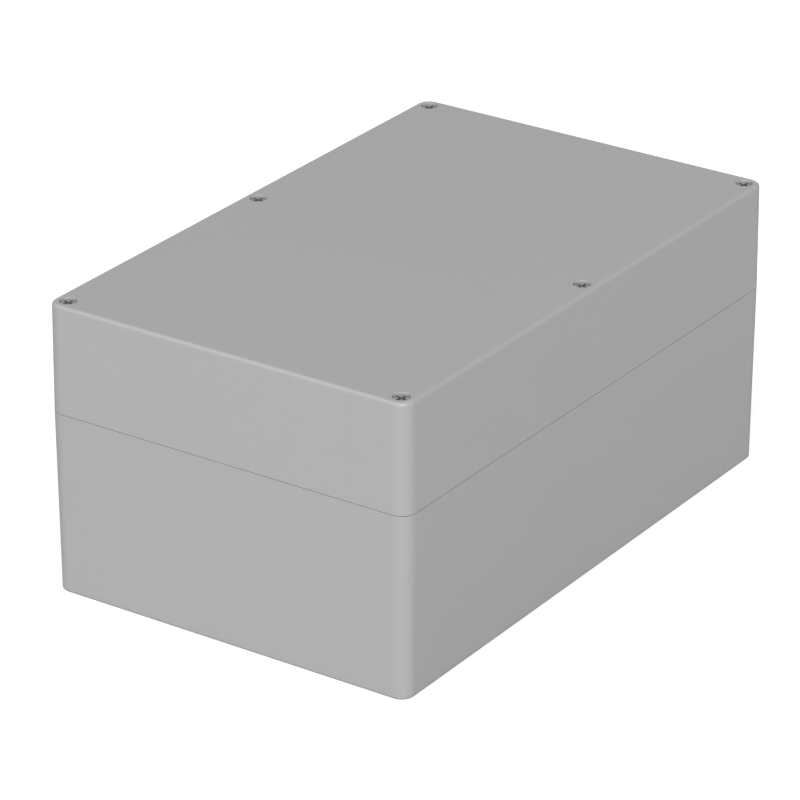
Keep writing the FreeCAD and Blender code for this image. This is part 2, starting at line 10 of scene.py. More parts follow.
import bmesh
import bpy
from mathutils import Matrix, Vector


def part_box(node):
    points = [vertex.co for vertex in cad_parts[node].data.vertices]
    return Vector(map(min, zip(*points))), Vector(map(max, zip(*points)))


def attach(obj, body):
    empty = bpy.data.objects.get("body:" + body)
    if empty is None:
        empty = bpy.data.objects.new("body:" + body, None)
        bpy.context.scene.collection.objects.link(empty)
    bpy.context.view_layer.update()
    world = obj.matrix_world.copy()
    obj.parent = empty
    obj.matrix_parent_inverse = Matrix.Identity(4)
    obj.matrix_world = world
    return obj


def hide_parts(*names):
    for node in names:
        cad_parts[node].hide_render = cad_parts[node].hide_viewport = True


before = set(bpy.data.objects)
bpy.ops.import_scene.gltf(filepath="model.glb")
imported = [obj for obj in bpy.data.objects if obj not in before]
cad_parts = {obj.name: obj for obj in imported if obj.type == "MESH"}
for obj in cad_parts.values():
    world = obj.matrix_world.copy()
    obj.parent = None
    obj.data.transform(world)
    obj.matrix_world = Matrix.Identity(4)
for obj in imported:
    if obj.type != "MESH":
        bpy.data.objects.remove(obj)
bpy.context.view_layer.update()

# %% [markdown]
# Everything is in metres, but the box is small, so the sizes below read better in millimetres. The
# places of the screws and inserts are read from the solids, and so nothing has to be fitted by hand.

# %% Millimetres, the six stations and two helpers
MM = 0.001
STATIONS = ["front_left", "front_middle", "front_right", "rear_left", "rear_middle", "rear_right"]


def middle_of(node):
    """The upright axis of a turned solid, as x and y."""
    low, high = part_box(node)
    return (low.x + high.x) / 2, (low.y + high.y) / 2


def add_object(name, data):
    """A new object in the scene: a mesh, a lamp or a camera."""
    thing = bpy.data.objects.new(name, data)
    bpy.context.scene.collection.objects.link(thing)
    return thing


base_low, base_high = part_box("base")
lid_low, lid_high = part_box("lid")
parting_height = lid_low.z
print("parting line at", round(parting_height / MM, 2), "mm, top at", round(lid_high.z / MM, 2), "mm")

# %% [markdown]
# A finish that several materials share is built once, as a shader node group, and gets its own
# values in each material. A group gives out only what changes over the surface: a height, a colour
# or a roughness. The shader itself stays in the material.

# %% Helpers for shader node groups
NUMBER, COLOUR = "NodeSocketFloat", "NodeSocketColor"


def new_group(name, inputs, outputs):
    """An empty group: inputs are (name, kind, value), outputs are (name, kind)."""
    group = bpy.data.node_groups.new(name, "ShaderNodeTree")
    for label, kind, preset in inputs:
        socket = group.interface.new_socket(name=label, in_out="INPUT", socket_type=kind)
        socket.default_value = preset
    for label, kind in outputs:
        group.interface.new_socket(name=label, in_out="OUTPUT", socket_type=kind)
    return group, group.nodes.new("NodeGroupInput"), group.nodes.new("NodeGroupOutput")


def add_math(tree, operation, first, second=None, third=None):
    """A Math node; each value is a number or another node's output."""
    node = tree.nodes.new("ShaderNodeMath")
    node.operation = operation
    for socket, source in zip(node.inputs, (first, second, third)):
        if isinstance(source, (int, float)):
            socket.default_value = source
        elif source is not None:
            tree.links.new(source, socket)
    return node.outputs[0]


def place_on_piece(tree):
    """The place on the piece, in its own metres, split into X, Y and Z."""
    place = tree.nodes.new("ShaderNodeTexCoord")
    split = tree.nodes.new("ShaderNodeSeparateXYZ")
    tree.links.new(place.outputs["Object"], split.inputs[0])
    return split


def squared_from_axis(tree, split):
    """The square of the distance from the piece's upright axis."""
    squares = [add_math(tree, "MULTIPLY", split.outputs[axis], split.outputs[axis]) for axis in (0, 1)]
    return add_math(tree, "ADD", *squares)


# %% [markdown]
# The mould of such a box is spark eroded, which leaves a skin of tiny shallow pits. They are too
# small to see from a step away, and only take the mirror out of the gloss. Noise gives the uneven
# ground, and a Voronoi pattern adds the rims of the pits. Real displacement would cost millions of
# faces, so the result is a height for a Bump node.

# %% Group: moulded grain
grain, grain_in, grain_out = new_group(
    "Moulded grain",
    [("Grain per metre", NUMBER, 2000.0), ("Pits", NUMBER, 0.4)],
    [("Height", NUMBER)])
grain_place = grain.nodes.new("ShaderNodeTexCoord")
grain_noise = grain.nodes.new("ShaderNodeTexNoise")
grain_noise.inputs["Detail"].default_value = 3.0
grain_cells = grain.nodes.new("ShaderNodeTexVoronoi")
grain_cells.feature = "SMOOTH_F1"
for texture in (grain_noise, grain_cells):
    grain.links.new(grain_place.outputs["Object"], texture.inputs["Vector"])
    grain.links.new(grain_in.outputs["Grain per metre"], texture.inputs["Scale"])
pits = add_math(grain, "MULTIPLY", grain_cells.outputs["Distance"], grain_in.outputs["Pits"])
grain_height = add_math(grain, "ADD", grain_noise.outputs["Fac"], pits)
grain.links.new(grain_height, grain_out.inputs["Height"])
print("grain nodes:", len(grain.nodes))

# %% [markdown]
# Plastic that flows into a mould cools at different speeds, so its tone and gloss drift very slightly
# over a hand's width. The same drift, smaller in size, shows on metal and rubber as handling and
# cleaning marks. Without it a large face looks like a flat fill.

# %% Group: slow drift of tone and gloss
drift, drift_in, drift_out = new_group(
    "Slow drift",
    [("Colour", COLOUR, (0.5, 0.5, 0.5, 1.0)), ("Roughness", NUMBER, 0.4),
     ("Patches per metre", NUMBER, 12.0), ("Tone", NUMBER, 0.03), ("Gloss", NUMBER, 0.05)],
    [("Colour", COLOUR), ("Roughness", NUMBER)])
drift_place = drift.nodes.new("ShaderNodeTexCoord")
drift_noise = drift.nodes.new("ShaderNodeTexNoise")
drift_noise.inputs["Detail"].default_value = 2.0
drift.links.new(drift_place.outputs["Object"], drift_noise.inputs["Vector"])
drift.links.new(drift_in.outputs["Patches per metre"], drift_noise.inputs["Scale"])
centred = add_math(drift, "SUBTRACT", drift_noise.outputs["Fac"], 0.5)
brighter = add_math(drift, "MULTIPLY_ADD", centred, drift_in.outputs["Tone"], 1.0)
rougher = add_math(drift, "MULTIPLY_ADD", centred, drift_in.outputs["Gloss"], drift_in.outputs["Roughness"])
tint = drift.nodes.new("ShaderNodeVectorMath")
tint.operation = "SCALE"
drift.links.new(drift_in.outputs["Colour"], tint.inputs[0])
drift.links.new(brighter, tint.inputs["Scale"])
drift.links.new(tint.outputs[0], drift_out.inputs["Colour"])
drift.links.new(rougher, drift_out.inputs["Roughness"])
print("drift nodes:", len(drift.nodes))

# %% [markdown]
# Screws and inserts come off an automatic lathe, which leaves fine rings round their axis. The rings
# follow the distance from the axis on a flat end, and the height along a cylinder, so the sum of the
# two drives a one-dimensional noise. Each fastener has its origin on its own axis for this.

# %% Group: lathe rings
rings, rings_in, rings_out = new_group(
    "Lathe rings", [("Rings per metre", NUMBER, 8000.0)], [("Height", NUMBER)])
rings_split = place_on_piece(rings)
from_axis = add_math(rings, "SQRT", squared_from_axis(rings, rings_split))
along = add_math(rings, "ADD", from_axis, rings_split.outputs[2])
ring_count = add_math(rings, "MULTIPLY", along, rings_in.outputs["Rings per metre"])
ring_noise = rings.nodes.new("ShaderNodeTexNoise")
ring_noise.noise_dimensions = "1D"
rings.links.new(ring_count, ring_noise.inputs["W"])
rings.links.new(ring_noise.outputs["Fac"], rings_out.inputs["Height"])
print("ring nodes:", len(rings.nodes))

# %% [markdown]
# Four finishes cover the object: satin grey polycarbonate, bright turned steel, brass and matt black
# silicone rubber. They are built alike: the drift group feeds colour and roughness, a height group
# feeds a Bump node, and whatever is the same all over is set on the shader itself.

# %% A helper for materials
def new_finish(name, colour, roughness, patches, tone, gloss, height_group, height_values, bump_depth,
               bump_strength, **constants):
    """A Principled material with drifting tone and gloss and a fine relief."""
    material = bpy.data.materials.new(name)
    material.use_nodes = True
    tree = material.node_tree
    shader = tree.nodes["Principled BSDF"]
    for label, value in constants.items():
        shader.inputs[label.replace("_", " ")].default_value = value
    surface = tree.nodes.new("ShaderNodeGroup")
    surface.node_tree = drift
    surface.inputs["Colour"].default_value = (*colour, 1.0)
    surface.inputs["Roughness"].default_value = roughness
    surface.inputs["Patches per metre"].default_value = patches
    surface.inputs["Tone"].default_value = tone
    surface.inputs["Gloss"].default_value = gloss
    tree.links.new(surface.outputs["Colour"], shader.inputs["Base Color"])
    tree.links.new(surface.outputs["Roughness"], shader.inputs["Roughness"])
    relief = tree.nodes.new("ShaderNodeGroup")
    relief.node_tree = height_group
    for label, value in height_values.items():
        relief.inputs[label].default_value = value
    bump = tree.nodes.new("ShaderNodeBump")
    bump.inputs["Distance"].default_value = bump_depth
    bump.inputs["Strength"].default_value = bump_strength
    tree.links.new(relief.outputs["Height"], bump.inputs["Height"])
    tree.links.new(bump.outputs["Normal"], shader.inputs["Normal"])
    return material


# %% [markdown]
# The plastic is a neutral mid grey with the wide soft sheen of an eroded mould. The steel is rather
# rough for a turned part, because the heads in the picture have no sharp glints. Brass and rubber are
# hidden in the closed box, and follow the real materials.

# %% The four finishes
grey_plastic = new_finish(
    "Satin polycarbonate", colour=(0.39, 0.39, 0.39), roughness=0.43, patches=14.0, tone=0.03,
    gloss=0.10, height_group=grain, height_values={"Grain per metre": 2600.0, "Pits": 0.5},
    bump_depth=0.004 * MM, bump_strength=0.6, IOR=1.585)
bright_steel = new_finish(
    "Turned stainless steel", colour=(0.56, 0.56, 0.55), roughness=0.50, patches=300.0, tone=0.10,
    gloss=0.16, height_group=rings, height_values={"Rings per metre": 9000.0},
    bump_depth=0.006 * MM, bump_strength=0.5, Metallic=1.0)
warm_brass = new_finish(
    "Turned brass", colour=(0.76, 0.55, 0.24), roughness=0.28, patches=300.0, tone=0.12,
    gloss=0.25, height_group=rings, height_values={"Rings per metre": 7000.0},
    bump_depth=0.006 * MM, bump_strength=0.5, Metallic=1.0)
black_rubber = new_finish(
    "Silicone rubber", colour=(0.028, 0.028, 0.030), roughness=0.62, patches=60.0, tone=0.30,
    gloss=0.16, height_group=grain, height_values={"Grain per metre": 1800.0, "Pits": 0.3},
    bump_depth=0.02 * MM, bump_strength=0.6, IOR=1.41)
print("finishes:", [m.name for m in (grey_plastic, bright_steel, warm_brass, black_rubber)])

# %% [markdown]
# The two shells are the whole look of the closed box, and their solids already have the right walls,
# rounds, wells and parting line. They keep their meshes, and only the material in their slots changes.

# %% Dress the two shells
def dress(node, material):
    """Puts a material in every slot of a measured solid."""
    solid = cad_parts[node]
    solid.data.materials.clear()
    solid.data.materials.append(material)


for shell in ("base", "lid"):
    dress(shell, grey_plastic)
    print(shell, "triangles:", len(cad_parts[shell].data.polygons))

# %% [markdown]
# New pieces are made in mesh code. Most are round and upright, so one helper builds them all: a stack
# of rings, each with a height and a radius, where the radius may change with the angle. That is enough
# for a head, a shank, a screw thread and a knurl. A closed stack makes a sleeve, an open one gets a
# point at each end.

# %% Helpers for turned pieces
def add_piece(name, mesh, material, body, place=(0, 0, 0), turn=0.0, smooth_below=35.0):
    """Links a piece into the scene, dresses it, and lets it ride on a body."""
    mesh.materials.clear()
    mesh.materials.append(material)
    mesh.shade_smooth()
    mesh.set_sharp_from_angle(angle=math.radians(smooth_below))
    piece = add_object(name, mesh)
    piece.location = place
    piece.rotation_euler.z = turn
    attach(piece, body)
    return piece


def join_rings(shape, loops, closed=False):
    """Faces between neighbouring rings of vertices; closed joins the last ring to the first too."""
    lower_loops = loops[1:] + loops[:1] if closed else loops[1:]
    for upper, lower in zip(loops, lower_loops):
        for step in range(len(upper)):
            after = (step + 1) % len(upper)
            shape.faces.new((upper[step], upper[after], lower[after], lower[step]))


def close_with_point(shape, loop, height):
    """Faces from a ring to a point on the axis."""
    tip = shape.verts.new((0, 0, height))
    for step in range(len(loop)):
        shape.faces.new((tip, loop[step], loop[(step + 1) % len(loop)]))


def finished_mesh(name, shape):
    """The shape as a mesh, with its faces turned outwards."""
    bmesh.ops.recalc_face_normals(shape, faces=shape.faces)
    mesh = bpy.data.meshes.new(name)
    shape.to_mesh(mesh)
    shape.free()
    return mesh


def turned_mesh(name, rows, around, sleeve=False):
    """Rings of vertices joined into a skin; a row is (height, radius) and a radius may be a function."""
    shape = bmesh.new()
    loops = []
    for height, radius in rows:
        loop = []
        for step in range(around):
            angle = 2 * math.pi * step / around
            reach = radius(angle) if callable(radius) else radius
            loop.append(shape.verts.new((reach * math.cos(angle), reach * math.sin(angle), height)))
        loops.append(loop)
    join_rings(shape, loops, closed=sleeve)
    if not sleeve:
        close_with_point(shape, loops[0], rows[0][0])
        close_with_point(shape, loops[-1], rows[-1][0])
    return finished_mesh(name, shape)


# %% [markdown]
# A screw thread is a ridge that climbs one pitch per turn. With many rings close together it needs no
# helix curve: the radius rises and falls with the height minus the angle's share of a turn.

# %% The thread's profile
PITCH = 0.7 * MM
ROWS_PER_PITCH = 8
FLANK_SLOPE = 1.33
ROOT_FLAT = 0.17


def wave(turns):
    """A triangle wave between 0 and 1."""
    return abs((turns % 1.0) - 0.5) * 2.0


def tooth(phase):
    """0 in the root and 1 on the crest, with flats on both, over one pitch."""
    return min(1.0, max(0.0, wave(phase) * FLANK_SLOPE - ROOT_FLAT))


def threaded_rows(top, end, root, crest, fade):
    """Rings down a thread whose ridge grows in and dies out over the fade length."""
    count = int(round((top - end) / PITCH * ROWS_PER_PITCH))
    rows = []
    for index in range(count + 1):
        height = top + (end - top) * index / count
        share = min(1.0, (top - height) / fade, (height - end) / fade)

        def reach(angle, height=height, share=share):
            return root + (crest - root) * share * tooth(height / PITCH - angle / (2 * math.pi))
        rows.append((height, reach))
    return rows


print("tooth:", [round(tooth(step / 8), 2) for step in range(8)])

# %% [markdown]
# The lid screws have a cheese head with a rounded upper edge, a shank that is thinner than the thread,
# so that the screw stays captive in the lid, and about ten millimetres of thread at the end. Only the
# heads show on the closed box, but a loosened screw shows more. The origin is under the head.

# %% One lid screw without its recess
screw_low, screw_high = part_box("lid_screw_front_left")
screw_head_radius = (screw_high.x - screw_low.x) / 2
SCREW_HEAD_HEIGHT = 2.6 * MM
seat_height = screw_high.z - SCREW_HEAD_HEIGHT
screw_tip = screw_low.z - seat_height
SHANK_RADIUS = 1.5 * MM
THREAD_CREST = 1.95 * MM
THREAD_ROOT = 1.55 * MM
THREAD_LENGTH = 10.0 * MM
THREAD_FADE = 0.6 * MM
THREAD_NECK = 0.05 * MM
TIP_LENGTH = 0.5 * MM
TIP_TAPER = 0.35 * MM
HEAD_ROUND = 0.3 * MM
HEAD_CROWN = 0.02 * MM
HEAD_BEVEL = 0.12 * MM
SHANK_FILLET = 0.25 * MM
ROUND_STEPS = 4
SCREW_AROUND = 48

head_rows = [(SCREW_HEAD_HEIGHT, screw_head_radius * 0.25)]
head_rows += [(SCREW_HEAD_HEIGHT - HEAD_CROWN * share ** 2, (screw_head_radius - HEAD_ROUND) * share)
              for share in (0.5, 0.75, 1.0)]
for step in range(1, ROUND_STEPS + 1):
    angle = math.radians(90 - 90 * step / ROUND_STEPS)
    head_rows.append((SCREW_HEAD_HEIGHT - HEAD_CROWN - HEAD_ROUND * (1 - math.sin(angle)),
                      screw_head_radius - HEAD_ROUND * (1 - math.cos(angle))))
head_rows += [(HEAD_BEVEL, screw_head_radius), (0.0, screw_head_radius - HEAD_BEVEL)]
shank_rows = [(0.0, SHANK_RADIUS + SHANK_FILLET), (-SHANK_FILLET, SHANK_RADIUS)]
shank_rows.append((screw_tip + THREAD_LENGTH + THREAD_NECK, SHANK_RADIUS))
thread_rows = threaded_rows(
    screw_tip + THREAD_LENGTH, screw_tip + TIP_LENGTH, THREAD_ROOT, THREAD_CREST, THREAD_FADE)
tip_rows = [(screw_tip, THREAD_ROOT - TIP_TAPER)]
plain_screw = turned_mesh("plain screw", head_rows + shank_rows + thread_rows + tip_rows, SCREW_AROUND)
print("screw length:", round((screw_high.z - screw_low.z) / MM, 2), "mm; faces:", len(plain_screw.polygons))

# %% [markdown]
# A cross recess has four wings that narrow towards the bottom, a web at each inner corner, and a
# conical end. It could be modelled into the rings of the head, but a Boolean cut with a tapered cross
# is shorter and gives clean edges. The cutter flares at its top, which leaves a small bevel on the rim.

# %% The cross recess, cut once for all the screws
CROSS_SPAN = 2.5 * MM
CROSS_SLOT = 0.575 * MM
CROSS_WEB = 0.35 * MM
CROSS_DEPTH = 1.7 * MM
CROSS_FLARE = 0.07 * MM
CROSS_RISE = 0.02 * MM
CROSS_ARM_TAPER = 0.8
CROSS_TAPER = 0.62
CROSS_WEB_TAPER = 0.5
CROSS_WALL_SHARE = 0.85


def cross_outline(span, slot, web):
    """Sixteen corners of a cross with cut-off inner corners."""
    tip = slot * CROSS_ARM_TAPER
    arm = [(slot + web, -slot), (span, -tip), (span, tip), (slot + web, slot)]
    corners = []
    for quarter in range(4):
        cosine = round(math.cos(quarter * math.pi / 2))
        sine = round(math.sin(quarter * math.pi / 2))
        corners += [(x * cosine - y * sine, x * sine + y * cosine) for x, y in arm]
    return corners


def cross_cutter():
    """A tapered cross with a flared top and a pointed end."""
    levels = [
        (CROSS_RISE, CROSS_SPAN + CROSS_FLARE, CROSS_SLOT + CROSS_FLARE, CROSS_WEB),
        (-CROSS_FLARE, CROSS_SPAN, CROSS_SLOT, CROSS_WEB),
        (-CROSS_DEPTH * CROSS_WALL_SHARE, CROSS_SPAN * CROSS_TAPER, CROSS_SLOT * CROSS_TAPER,
         CROSS_WEB * CROSS_WEB_TAPER),
    ]
    shape = bmesh.new()
    loops = []
    for height, span, slot, web in levels:
        outline = cross_outline(span, slot, web)
        loops.append([shape.verts.new((x, y, SCREW_HEAD_HEIGHT + height)) for x, y in outline])
    shape.faces.new(loops[0])
    join_rings(shape, loops)
    close_with_point(shape, loops[-1], SCREW_HEAD_HEIGHT - CROSS_DEPTH)
    return finished_mesh("cross cutter", shape)


def cut_away(mesh, cutter_mesh):
    """The mesh with another one cut out of it."""
    body = add_object("being cut", mesh)
    cutter = add_object("cutter", cutter_mesh)
    cut = body.modifiers.new("recess", "BOOLEAN")
    cut.operation = "DIFFERENCE"
    cut.solver = "EXACT"
    cut.object = cutter
    bpy.context.view_layer.update()
    result = bpy.data.meshes.new_from_object(body.evaluated_get(bpy.context.evaluated_depsgraph_get()))
    for thing in (body, cutter):
        bpy.data.objects.remove(thing)
    return result


screw_mesh = cut_away(plain_screw, cross_cutter())
print("screw faces with its recess:", len(screw_mesh.polygons))

# %% [markdown]
# The recess is punched cold. Its dark colour is painted shade, for the shade deep in the cross, and it
# is rougher, so it shows no glints. The painted shade covers what lies under the face of the head and
# near the axis, so a mask made from those two distances is enough. It needs no faces of its own, and the
# shank below the recess stays bright.

# %% Painted shade in the recess
# Painted shade: the dark colour that stands for the shade in the cross recess, and the roughness added
# there.
RECESS_SHADE_COLOUR = (0.18, 0.177, 0.169, 1.0)
RECESS_SHADE_ROUGHNESS = 0.3
RECESS_SHADE_START = 0.03 * MM
RECESS_SHADE_FULL = 0.09 * MM
RECESS_SHADE_MARGIN = 1.05
RECESS_SHADE_REACH = CROSS_SPAN * 1.1


def add_painted_recess_shade(material):
    """Darkens the material inside the recess with painted shade, and roughens it: under the head's face and
    near the axis.
    """
    tree = material.node_tree
    shader = tree.nodes["Principled BSDF"]
    split = place_on_piece(tree)
    under_face = tree.nodes.new("ShaderNodeMapRange")
    under_face.inputs["From Min"].default_value = SCREW_HEAD_HEIGHT - RECESS_SHADE_START
    under_face.inputs["From Max"].default_value = SCREW_HEAD_HEIGHT - RECESS_SHADE_FULL
    tree.links.new(split.outputs["Z"], under_face.inputs["Value"])
    lowest = SCREW_HEAD_HEIGHT - CROSS_DEPTH * RECESS_SHADE_MARGIN
    above_bottom = add_math(tree, "GREATER_THAN", split.outputs["Z"], lowest)
    near_axis = add_math(tree, "LESS_THAN", squared_from_axis(tree, split), RECESS_SHADE_REACH ** 2)
    inside = add_math(tree, "MULTIPLY", above_bottom, near_axis)
    recess_shade_mask = add_math(tree, "MULTIPLY", inside, under_face.outputs[0])
    # Mix in the painted shade's dark colour where the mask is on.
    recess_shade_mix = tree.nodes.new("ShaderNodeMix")
    recess_shade_mix.data_type = "RGBA"
    recess_shade_mix.inputs["B"].default_value = RECESS_SHADE_COLOUR
    tree.links.new(recess_shade_mask, recess_shade_mix.inputs["Factor"])
    base_source = shader.inputs["Base Color"].links[0].from_socket
    tree.links.new(base_source, recess_shade_mix.inputs["A"])
    tree.links.new(recess_shade_mix.outputs["Result"], shader.inputs["Base Color"])
    rough_source = shader.inputs["Roughness"].links[0].from_socket
    rougher_there = add_math(tree, "MULTIPLY_ADD", recess_shade_mask, RECESS_SHADE_ROUGHNESS, rough_source)
    tree.links.new(rougher_there, shader.inputs["Roughness"])


# Paint the shade of the recess into the steel.
add_painted_recess_shade(bright_steel)
print("steel nodes:", len(bright_steel.node_tree.nodes))

# %% [markdown]
# The picture shows all six crosses at the same angle, as they come off one press that drives them home
# together. Each piece takes the place of the measured solid, which stays in the model of the motion.

# %% Place the six lid screws
CROSS_TURN = math.radians(79.0)
for station in STATIONS:
    node = "lid_screw_" + station
    x, y = middle_of(node)
    screw = add_piece("cross_screw_" + station, screw_mesh.copy(), bright_steel, node,
                      (x, y, seat_height), CROSS_TURN)
    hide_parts(node)
    print(node, "at", round(x / MM, 1), round(y / MM, 1))

# %% [markdown]
# The brass inserts are pressed into the plastic while hot. Two bands of diamond knurl and a waist
# between them keep them there, and the lid screws and board screws run in their thread. A knurl is
# two sets of slanting grooves, so the radius takes the deeper of two slanting waves.

# %% One brass insert
insert_low, insert_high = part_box("floor_insert_front_left")
insert_length = insert_high.z - insert_low.z
insert_radius = (insert_high.x - insert_low.x) / 2
BORE_RADIUS = 2.0 * MM
THREAD_CUT = 0.3 * MM
KNURL_TEETH = 24
KNURL_DEPTH = 0.16 * MM
KNURL_LEAD = 5.5 * MM
KNURL_ROWS = 12
KNURL_MARGIN = 0.02 * MM
WAIST_DEPTH = 0.4 * MM
WAIST_HALF = 0.3 * MM
BAND_START = 0.4 * MM
INSERT_BEVEL = 0.3 * MM
BORE_FADE = 0.25 * MM
INSERT_AROUND = 72


def knurled(height):
    """The outside radius at a height, as a function of the angle."""
    def reach(angle):
        share = KNURL_TEETH * angle / (2 * math.pi)
        climb = KNURL_TEETH * height / KNURL_LEAD / math.pi
        groove = min(wave(share + climb), wave(share - climb))
        return insert_radius - KNURL_MARGIN - KNURL_DEPTH * (1.0 - groove)
    return reach


def band(top, end):
    """The rows of a knurled band between two heights."""
    heights = [top + (end - top) * step / KNURL_ROWS for step in range(KNURL_ROWS + 1)]
    return [(height, knurled(height)) for height in heights]


neck = insert_radius - WAIST_DEPTH
half = insert_length / 2
outside = [(0.0, insert_radius - INSERT_BEVEL)]
outside += band(-INSERT_BEVEL, -half + BAND_START)
outside += [(-half + WAIST_HALF, neck), (-half - WAIST_HALF, neck)]
outside += band(-half - BAND_START, -insert_length + INSERT_BEVEL)
outside += [(-insert_length, insert_radius - INSERT_BEVEL)]
bore = threaded_rows(0.0, -insert_length, BORE_RADIUS, BORE_RADIUS + THREAD_CUT, BORE_FADE)
insert_mesh = turned_mesh("insert", outside + list(reversed(bore)), INSERT_AROUND, sleeve=True)
print("insert:", round(insert_length / MM, 2), "mm long; faces:", len(insert_mesh.polygons))

# %% [markdown]
# Six inserts sit in the columns, where the lid screws end, and six in the bosses on the floor, for a
# board or a mounting plate. They are bought parts and all alike, so one mesh is copied to each measured
# place, with its upper end where the solid's is.

# %% Place the twelve inserts
for family in ("column_insert_", "floor_insert_"):
    for station in STATIONS:
        node = family + station
        x, y = middle_of(node)
        insert = add_piece("knurled_" + node, insert_mesh.copy(), warm_brass, "base",
                           (x, y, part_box(node)[1].z))
        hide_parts(node)
print("inserts placed:", 2 * len(STATIONS))

# %% [markdown]
# The seal is a rubber cord laid in the lid's groove, which steps inwards round each screw column. Its
# path is straight runs and tangent arcs, worked out for one quarter and mirrored. A cord of round
# section would be simpler, but the real one fills the groove on top and has a soft crown with two
# lips below, where the base's tongue presses, so a section of its own is swept along the path.

# %% The path of the seal
SEAL_INSET = 2.2 * MM
FIXING_STEP = 12.0 * MM
COLUMN_TURN = 6.0 * MM
SEAL_TURN = 4.0 * MM
ARC_STEP = math.radians(9)
SAME_PLACE = 0.01 * MM


def arc(centre_x, centre_y, radius, start, end):
    """Points on an arc, both ends included; angles in radians, either way round."""
    count = max(2, math.ceil(abs(end - start) / ARC_STEP))
    angles = [start + (end - start) * step / count for step in range(count + 1)]
    return [(centre_x + radius * math.cos(a), centre_y + radius * math.sin(a)) for a in angles]


def seal_quarter():
    """From the middle of the right end to the middle of the rear wall."""
    screw_x, column_y = middle_of("lid_screw_rear_right")
    column_x = screw_x - FIXING_STEP
    wall_x = base_high.x - SEAL_INSET
    wall_y = base_high.y - SEAL_INSET
    block_y = column_y - COLUMN_TURN
    rise = wall_y - SEAL_TURN - column_y
    lean = math.asin(rise / (COLUMN_TURN + SEAL_TURN))
    reach = (COLUMN_TURN + SEAL_TURN) * math.cos(lean)
    turn_y = wall_y - SEAL_TURN
    half_turn = math.pi / 2
    points = [(wall_x, 0.0)]
    points += arc(wall_x - SEAL_TURN, block_y - SEAL_TURN, SEAL_TURN, 0.0, half_turn)
    points += arc(column_x, column_y, COLUMN_TURN, -half_turn, -math.pi - lean)
    points += arc(column_x - reach, turn_y, SEAL_TURN, -lean, half_turn)
    points += arc(reach, turn_y, SEAL_TURN, half_turn, math.pi + lean)
    points += arc(0.0, column_y, COLUMN_TURN, lean, -half_turn)
    return points


def whole_seal():
    """The quarter mirrored into a closed path, without the doubled points."""
    quarter = seal_quarter()
    path = []
    for side_x, side_y in ((1, 1), (-1, 1), (-1, -1), (1, -1)):
        points = [(side_x * x, side_y * y) for x, y in quarter]
        path += points if side_x * side_y > 0 else reversed(points)
    return [point for index, point in enumerate(path) if math.dist(point, path[index - 1]) > SAME_PLACE]


seal_path = whole_seal()
seal_length = sum(math.dist(point, seal_path[index - 1]) for index, point in enumerate(seal_path))
print("seal path:", len(seal_path), "points,", round(seal_length / MM), "mm round")

# %% [markdown]
# The cord is pushed into the groove by hand, and follows its bends without folds. Here the section is
# set across the path at each point, and widened by the mitre, so that it keeps its width in the bends.
# A curve object with this section as its bevel would do the same.

# %% Sweep the seal's section along its path
seal_low, seal_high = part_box("gasket")
seal_height = seal_high.z - seal_low.z
MITRE_LIMIT = 0.5
# Half of the section, from its lips below to its back on top: millimetres across, share of the height
SEAL_SECTION = [(0.0, 0.05), (0.18, 0.04), (0.42, 0.0), (0.68, 0.03), (0.86, 0.12),
                (0.95, 0.26), (0.96, 0.45), (0.98, 0.70), (0.98, 0.93), (0.90, 1.0)]


def seal_mesh():
    """A closed cord of the section above."""
    right = [(across * MM, share * seal_height) for across, share in SEAL_SECTION]
    section = right + [(-across, height) for across, height in reversed(right[1:])]
    shape = bmesh.new()
    loops = []
    for index, point in enumerate(seal_path):
        before = Vector(seal_path[index - 1])
        after = Vector(seal_path[(index + 1) % len(seal_path)])
        here = Vector(point)
        heading_in = (here - before).normalized()
        heading_out = (after - here).normalized()
        heading = (heading_in + heading_out).normalized()
        side = Vector((heading.y, -heading.x)) / max(MITRE_LIMIT, heading.dot(heading_in))
        loops.append([shape.verts.new((*(here + side * across), seal_low.z + height))
                      for across, height in section])
    join_rings(shape, loops, closed=True)
    return finished_mesh("seal cord", shape)


seal = add_piece("seal_cord", seal_mesh(), black_rubber, "lid", smooth_below=50.0)
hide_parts("gasket")
print("seal faces:", len(seal.data.polygons))

# %% [markdown]
# Where pins push a moulding out of its mould they leave round marks, and where the plastic was fed in
# it leaves a small stump. On such a box both are inside, on the floor and on the ceiling. They are
# thin discs with a dished face, made by the same stack of rings.

# %% Ejector marks and gate stumps
MARK_RADIUS = 3.0 * MM
MARK_HEIGHT = 0.12 * MM
GATE_RADIUS = 1.4 * MM
GATE_HEIGHT = 0.5 * MM
SUNK = 0.05 * MM
BOSS_HEIGHT = 9.0 * MM
LID_WALL = 3.5 * MM
MARK_PLACES_X = (-78.0 * MM, -26.0 * MM, 26.0 * MM, 78.0 * MM)
MARK_PLACES_Y = (-36.0 * MM, 36.0 * MM)
MARK_AROUND = 40
floor_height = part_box("floor_insert_front_left")[1].z - BOSS_HEIGHT
ceiling_height = lid_high.z - LID_WALL
mark_rows = [(MARK_HEIGHT * 0.5, MARK_RADIUS * 0.2), (MARK_HEIGHT * 0.6, MARK_RADIUS * 0.82),
             (MARK_HEIGHT, MARK_RADIUS * 0.9), (MARK_HEIGHT * 0.9, MARK_RADIUS), (-SUNK, MARK_RADIUS)]
gate_rows = [(GATE_HEIGHT * 0.82, GATE_RADIUS * 0.3), (GATE_HEIGHT, GATE_RADIUS * 0.55),
             (GATE_HEIGHT * 0.85, GATE_RADIUS * 0.8), (GATE_HEIGHT * 0.2, GATE_RADIUS),
             (-SUNK, GATE_RADIUS * 1.15)]


